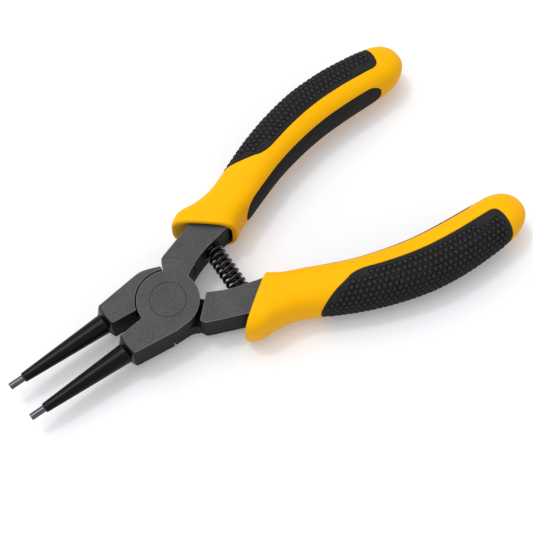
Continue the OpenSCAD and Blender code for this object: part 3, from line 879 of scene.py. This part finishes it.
@dataclass(frozen=True)
class StudField:
    """Low flat studs in staggered rows along the handle, each in a narrow trough, off the edge."""

    rise: float = 0.22
    trough: float = 0.2
    diameter: float = 1.6
    pitch: float = 2.08
    row_pitch: float = 2.1
    margin: float = 1.65
    uneven: float = 0.12
    uneven_size: float = 0.08
    squareness: float = 2.5
    shoulder: float = 0.76
    bank: float = 0.34
    seed: int = 7
    batches: int = 8

    def share(self, height: np.ndarray) -> np.ndarray:
        """Height as a share of the way from the trough to the top of a stud."""
        return (height + self.trough) / (self.rise + self.trough)

    def height(self, outline: GripOutline, skin: HandleSkin, s: np.ndarray,
               off: np.ndarray) -> np.ndarray:
        """Height of the studs over the grip's face.

        Each point finds the stud of its own row and column. The stud falls from its top to the
        trough by a smooth step of the distance from its middle, and the bank rises out of it.

        Args:
            outline: Edge of the grip.
            skin: Surface that the grip lies on.
            s: Section number of each row of points.
            off: Distance of each point from the grip's centre line.
        Returns:
            Heights in the shape of off.
        """
        along = skin.run(s)[:, None] + 0 * off
        swell = (skin.half_girth(s) / skin.half_girth(np.array([skin.middle])))[:, None]
        level = off / swell
        row = np.round(level / self.row_pitch - 0.5).astype(int)
        stagger = 0.5 * self.pitch * (row % 2)
        column = np.round((along - stagger) / self.pitch).astype(int)
        rows = np.arange(row.min(), row.max() + 1)
        columns = np.arange(column.min(), column.max() + 1)
        chance = np.random.default_rng(self.seed).uniform(-1, 1, (3, len(rows), len(columns)))
        shift = self.uneven * chance[:2]
        centre_off = (rows[:, None] + 0.5) * self.row_pitch + shift[0]
        staggered = 0.5 * self.pitch * (rows % 2)[:, None]
        centre_along = columns[None, :] * self.pitch + staggered + shift[1]
        sections = np.interp(centre_along.ravel(), skin.run(s), s)
        clear = np.concatenate([
            outline.inside(skin, part, spot[:, None])[:, 0] for part, spot in zip(
                np.array_split(sections, self.batches),
                np.array_split(centre_off.ravel(), self.batches))])
        present = (clear > self.margin).reshape(centre_off.shape)
        pick = (row - rows[0], column - columns[0])
        radius = self.diameter / 2 * (1 + self.uneven_size * chance[2])[pick]
        gap = ((np.abs(along - centre_along[pick]) / radius) ** self.squareness
               + (np.abs(level - centre_off[pick]) / radius) ** self.squareness)
        reach = gap ** (1 / self.squareness)
        fall = np.clip((1 - reach) / (1 - self.shoulder), 0, 1)
        rise = (self.rise + self.trough) * fall ** 2 * (3 - 2 * fall)
        bank = np.clip((reach - 1) / self.bank, 0, 1)
        return present[pick] * (rise - self.trough * (1 - bank ** 2 * (3 - 2 * bank)))


@dataclass
class Grip:
    """Soft black grip in its pocket. The outer one is covered with low round studs."""

    half: Half
    outline: GripOutline
    skin: HandleSkin
    finish: bpy.types.Material
    edge_round: float = 0.3
    depth: float = 1.2
    narrow: float = 0.8
    even_rows: int = 150
    end_rows: int = 26
    columns: int = 40
    under_columns: int = 6
    sharp_angle: float = 75.0
    studs: StudField | None = None

    def build(self) -> bpy.types.Object:
        """Makes the grip as closed rings: its face from edge to edge, then its flat underside.

        Returns:
            The grip, without its finish.
        """
        s = self.outline.rows(self.skin, self.even_rows, self.end_rows)
        s = np.append(s, s[-1])
        width = self.outline.half_width(self.skin, s)[:, None]
        width[-1] = 0
        close = np.array(EDGE_STEPS)[None, :] * np.minimum(1, width / self.narrow)
        inner = np.linspace(-1, 1, self.columns)[None, 1:-1] * (width - close[:, -1:])
        off = np.concatenate([close - width, inner, width - close[:, ::-1]], axis=1)
        lift = -round_over(self.outline.inside(self.skin, s, off), self.edge_round)
        along = np.broadcast_to(self.skin.run(s)[:, None], off.shape)
        relief = np.full_like(off, PLAIN_RELIEF)
        if self.studs:
            height = self.studs.height(self.outline, self.skin, s, off)
            lift = lift + height
            relief = self.studs.share(height)
        under = np.linspace(1, -1, self.under_columns)[None, :] * width
        off = np.concatenate([off, under], axis=1)
        lift = np.concatenate([lift, np.full_like(under, -self.depth)], axis=1)
        relief = np.concatenate([relief, np.full_like(under, PLAIN_RELIEF)], axis=1)
        along = np.concatenate([along, along[:, :self.under_columns]], axis=1)
        share = off / self.skin.half_girth(s)[:, None]
        angle = self.skin.even_angle(share)
        if self.outline.side is GripSide.INNER:
            angle = 180 - self.skin.even_angle(1 - np.abs(share))
            angle = 180 + np.sign(share) * angle
        points = self.skin.point(s[:, None], angle, lift)
        points[..., 1] *= self.half.side
        quads = grid_quads(len(s), off.shape[1], turned=self.half is Half.BOTTOM)
        unrolled = np.stack([along, off], axis=-1).reshape(-1, 2)
        name = f"{self.half.value}_{self.outline.side.value}_moulding"
        piece = make_piece(name, points.reshape(-1, 3), quads, unrolled, relief.ravel())
        piece.data.set_sharp_from_angle(angle=math.radians(self.sharp_angle))
        return piece

    def dress(self, piece: bpy.types.Object) -> None:
        """Gives the grip its finish and sets it in place of the CAD grip.

        Args:
            piece: The grip's object.
        """
        piece.data.materials.append(self.finish)
        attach(piece, self.half.body)
        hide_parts(f"{self.half.value}_{self.outline.side.value}")


@dataclass
class ReturnSpring:
    """Coil spring between the arms, with a closed turn at each end."""

    finish: bpy.types.Material
    x: float = 23.5
    mid_z: float = 6.7
    length: float = 20.4
    clearance: float = 0.05
    diameter: float = 7.2
    wire: float = 1.2
    turns: float = 8.0
    closed_pitch: float = 1.04
    per_turn: int = 44
    sides: int = 14
    sharp_angle: float = 60.0

    def build(self) -> bpy.types.Object:
        """Makes the wire: a circle carried along a helix, which is closed up over its end turns.

        Returns:
            The spring, without its finish.
        """
        total = self.turns + 2
        run = self.length - 2 * self.clearance - self.wire
        pitch = self.closed_pitch * self.wire
        n = np.linspace(0, total, int(total * self.per_turn))
        y = np.interp(n, [0, 1, self.turns + 1, total], [0, pitch, run - pitch, run]) - run / 2
        wire_r = np.full_like(n, self.wire / 2)
        n, y = np.r_[n[0], n, n[-1]], np.r_[y[0], y, y[-1]]
        wire_r = np.r_[0, wire_r, 0]
        turn = 2 * np.pi * n[:, None]
        round_wire = np.linspace(0, 2 * np.pi, self.sides, endpoint=False)[None, :]
        radius = (self.diameter - self.wire) / 2 + wire_r[:, None] * np.cos(round_wire)
        points = np.stack([
            self.x + radius * np.sin(turn), y[:, None] + wire_r[:, None] * np.sin(round_wire),
            self.mid_z + radius * np.cos(turn)], axis=-1)
        quads = grid_quads(len(n), self.sides, turned=False)
        piece = make_piece("return_spring_coil", points.reshape(-1, 3), quads)
        piece.data.set_sharp_from_angle(angle=math.radians(self.sharp_angle))
        return piece

    def dress(self, piece: bpy.types.Object) -> None:
        """Gives the wire its finish, bakes its place into the mesh and sets it in place of the CAD
        spring.

        Args:
            piece: The spring's object.
        """
        piece.data.materials.append(self.finish)
        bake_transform(piece)
        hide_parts("return_spring")


@dataclass
class SteelWork:
    """The CAD nodes of steel: halves, rivet, tip pins and spring pegs, with broken edges."""

    coat: bpy.types.Material
    edge: bpy.types.Material
    bright: bpy.types.Material
    nodes: dict[str, bpy.types.Object]
    edge_width: dict[str, float] = field(default_factory=lambda: {
        "top_half": 0.26, "bottom_half": 0.26, "pivot_rivet": 0.06})
    join_gap: float = 0.002
    flat_angle: float = 0.5
    sharp_angle: float = 46.0

    def dress(self) -> None:
        """Gives each steel node its finish, and rounds the edges of the forged pieces."""
        for name, width in self.edge_width.items():
            self.finish(name, [self.coat, self.edge])
            self.break_edges(name, width)
        for half in Half:
            self.finish(f"{half.value}_tip", [self.bright])
            self.finish(f"{half.value}_spring_peg", [self.coat])

    def finish(self, name: str, materials: list[bpy.types.Material]) -> None:
        """Puts materials on a node, the first of them in its own slot.

        Args:
            name: Name of the CAD node.
            materials: The finish of its faces, and of its broken edges where it has them.
        """
        slots = self.nodes[name].data.materials
        slots.clear()
        for material in materials:
            slots.append(material)
        LOG.info("%s is %s", name, materials[0].name)

    def break_edges(self, name: str, width: float) -> None:
        """Joins the node's faces and rounds its sharp edges by a bevel.

        Args:
            name: Name of the CAD node.
            width: Width of the bevel in millimetres.
        """
        node = self.nodes[name]
        weld = node.modifiers.new("join_faces", "WELD")
        weld.merge_threshold = self.join_gap * MM
        flat = node.modifiers.new("flat_faces", "DECIMATE")
        flat.decimate_type = "DISSOLVE"
        flat.angle_limit = math.radians(self.flat_angle)
        bevel = node.modifiers.new("broken_edges", "BEVEL")
        bevel.width = width * MM
        bevel.segments = 2
        bevel.limit_method = "ANGLE"
        bevel.angle_limit = math.radians(self.sharp_angle)
        bevel.use_clamp_overlap = False
        bevel.material = 1
        normals = node.modifiers.new("even_normals", "WEIGHTED_NORMAL")
        normals.keep_sharp = True


@dataclass
class Studio:
    """Pale floor, lamps from the upper left, and the camera at the photograph's angle, in metres.

    The wide key gives the soft shadow, the small spark the thin lights on noses, pins and spring.
    Each lamp is a name, a diameter and a power in watts.
    """

    eye: tuple[float, float, float] = (-0.0533, -0.1387, 0.3864)
    azimuth: float = -33.8
    elevation: float = 67.2
    focal_px: float = 1200.0
    frame_px: float = 533.0
    sensor: float = 36.0
    white: str = "#ffffff"
    room_light: float = 0.58
    floor_z: float = 0.0
    floor_reach: float = 4.0
    floor_colour: str = "#ebecef"
    floor_glow: float = 0.15
    plain_from: float = 0.25
    plain_at: float = 1.0
    lamp_from: tuple[float, float, float] = (-0.16, 0.33, 0.95)
    lamp_distance: float = 3.0
    lamps: tuple[tuple[str, float, float], ...] = (("key", 2.67, 46.0), ("spark", 0.4, 13.0))
    aim: tuple[float, float, float] = (0.03, 0.0, 0.005)

    def build(self) -> None:
        """Makes floor, world, lamps and camera, and sets the plain view transform."""
        self.add_floor()
        self.add_world()
        for name, size, power in self.lamps:
            self.add_lamp(name, size, power)
        self.add_camera()
        bpy.context.scene.view_settings.view_transform = "Standard"

    def seen_directly(self, tree: bpy.types.NodeTree) -> bpy.types.NodeSocket:
        """Adds the test for rays from the camera, a reflection or a refraction.

        Args:
            tree: Node tree that gets the test.
        Returns:
            One for such a ray, and zero for the light that falls on a surface.
        """
        path = add(tree, "ShaderNodeLightPath").outputs
        first = add(tree, "ShaderNodeMath", {0: path["Is Camera Ray"], 1: path["Is Glossy Ray"]},
                    operation="MAXIMUM")
        both = add(tree, "ShaderNodeMath", {0: first.outputs[0], 1: path["Is Transmission Ray"]},
                   operation="MAXIMUM")
        return both.outputs[0]

    def add_floor(self) -> None:
        """Makes the floor: matt, white to the eye, shadowed near the pliers and plain far off."""
        material, tree = new_material("paper sweep, matt white")
        matt = add(tree, "ShaderNodeBsdfDiffuse", {"Color": linear(self.floor_colour)})
        glow = add(tree, "ShaderNodeEmission", {
            "Color": linear(self.white), "Strength": self.floor_glow})
        lit = add(tree, "ShaderNodeAddShader", {0: matt.outputs[0], 1: glow.outputs[0]})
        place = add(tree, "ShaderNodeTexCoord").outputs["Object"]
        away = add(tree, "ShaderNodeVectorMath", {0: place}, operation="LENGTH")
        far = add(tree, "ShaderNodeMapRange", {
            "Value": away.outputs["Value"], "From Min": self.plain_from, "From Max": self.plain_at})
        plain = add(tree, "ShaderNodeEmission", {"Color": linear(self.white), "Strength": 1.0})
        seen = add(tree, "ShaderNodeMixShader", {
            0: far.outputs[0], 1: lit.outputs[0], 2: plain.outputs[0]})
        mix = add(tree, "ShaderNodeMixShader", {
            0: self.seen_directly(tree), 1: matt.outputs[0], 2: seen.outputs[0]})
        add(tree, "ShaderNodeOutputMaterial", {"Surface": mix.outputs[0]})
        reach = self.floor_reach
        mesh = bpy.data.meshes.new("floor")
        corners = [(-reach, -reach), (reach, -reach), (reach, reach), (-reach, reach)]
        mesh.from_pydata([(x, y, self.floor_z) for x, y in corners], [], [(0, 1, 2, 3)])
        mesh.materials.append(material)
        floor = bpy.data.objects.new("floor", mesh)
        bpy.context.scene.collection.objects.link(floor)
        floor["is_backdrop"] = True

    def add_world(self) -> None:
        """Makes the world: white to the eye, a soft even light for the rest."""
        world = bpy.data.worlds.new("white room")
        bpy.context.scene.world = world
        world.use_nodes = True
        tree = world.node_tree
        tree.nodes.clear()
        seen = add(tree, "ShaderNodeBackground", {"Color": linear(self.white), "Strength": 1.0})
        soft = add(tree, "ShaderNodeBackground", {
            "Color": linear(self.white), "Strength": self.room_light})
        mix = add(tree, "ShaderNodeMixShader", {
            0: self.seen_directly(tree), 1: soft.outputs[0], 2: seen.outputs[0]})
        add(tree, "ShaderNodeOutputWorld", {"Surface": mix.outputs[0]})

    def add_lamp(self, name: str, size: float, power: float) -> None:
        """Makes a round lamp behind and left of the pliers.

        Args:
            name: Name of the lamp.
            size: Diameter in metres.
            power: Power in watts.
        """
        away = np.array(self.lamp_from) / np.linalg.norm(self.lamp_from)
        place = np.array(self.aim) + self.lamp_distance * away
        side = np.cross((0, 0, 1), away)
        side /= np.linalg.norm(side)
        light = bpy.data.lights.new(name, "AREA")
        light.shape = "DISK"
        light.size = size
        light.energy = power
        lamp = bpy.data.objects.new(name, light)
        turned = np.column_stack([side, np.cross(away, side), away])
        lamp.matrix_world = Matrix.Translation(place) @ Matrix(turned.tolist()).to_4x4()
        bpy.context.scene.collection.objects.link(lamp)

    def add_camera(self) -> None:
        """Makes the camera from eye point, azimuth and elevation, with the photograph's field."""
        a, e = math.radians(self.azimuth), math.radians(self.elevation)
        right = np.array([math.cos(a), math.sin(a), 0.0])
        back = np.array([math.sin(a) * math.cos(e), -math.cos(a) * math.cos(e), math.sin(e)])
        data = bpy.data.cameras.new("camera")
        data.sensor_width = self.sensor
        data.lens = self.sensor * self.focal_px / self.frame_px
        camera = bpy.data.objects.new("camera", data)
        turned = np.column_stack([right, np.cross(back, right), back])
        camera.matrix_world = Matrix.Translation(self.eye) @ Matrix(turned.tolist()).to_4x4()
        bpy.context.scene.collection.objects.link(camera)
        bpy.context.scene.camera = camera


def main() -> None:
    """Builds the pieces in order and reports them."""
    logging.basicConfig(level=logging.INFO, format="%(name)s: %(message)s")
    cad_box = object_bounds()
    skin = HandleSkin()
    yellow, rubber = MouldedYellow().material(), SoftGrip().material()
    SteelWork(PhosphatedSteel().material(), WornEdgeWithPaintedHighlight().material(), GroundPin().material(),
              frame["nodes"]).dress()
    parts: list[Sleeve | Grip | ReturnSpring] = [ReturnSpring(SpringWire().material())]
    for half in Half:
        parts.append(Sleeve(half, skin, yellow))
        parts.append(Grip(half, OUTER_EDGE, skin, rubber, even_rows=400, columns=170,
                          studs=StudField()))
        parts.append(Grip(half, INNER_EDGE, skin, rubber))
    for part in parts:
        piece = part.build()
        part.dress(piece)
        LOG.info("%s has %d faces", piece.name, len(piece.data.polygons))
    Studio(floor_z=cad_box[0][2]).build()


if __name__ == "__main__":
    main()
